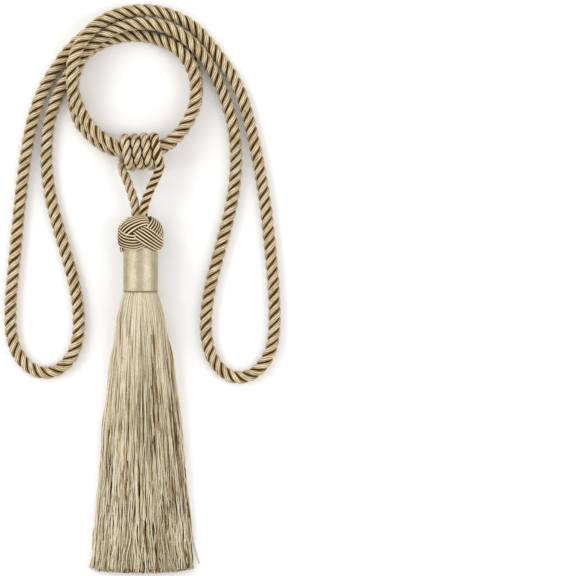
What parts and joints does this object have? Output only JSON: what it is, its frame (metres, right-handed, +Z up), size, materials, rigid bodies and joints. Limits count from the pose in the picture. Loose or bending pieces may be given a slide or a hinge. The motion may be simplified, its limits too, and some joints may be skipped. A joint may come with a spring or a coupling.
{
  "type": "curtain tieback tassel",
  "caption": "Rope tieback for a curtain: an endless twisted rope laid in a ring and loops, bound by a cord that carries a tassel with a woven head and long skirt.",
  "frame": {"origin": "on the surface that the tieback lies on, under the middle of the head knot", "axes": "+Z up from the surface, +Y along the tassel from its skirt to its ring, +X to the right"},
  "size_m": [0.1938, 0.3982, 0.0323],
  "materials": {
    "rope": "lustrous twisted rayon rope, golden beige with dark brown grooves between its plies",
    "cord": "lustrous twisted cord, golden beige",
    "knot": "woven bands of lustrous cord, golden beige",
    "neck": "fine satin thread wound side by side, pale champagne",
    "skirt": "loose lustrous yarn, pale champagne with brown between the locks"
  },
  "bodies": {
    "root": {"rope": "rope", "hanger": "cord", "head_knot": "knot", "neck_wrap": "neck", "skirt": "skirt"}
  },
  "joints": []
}
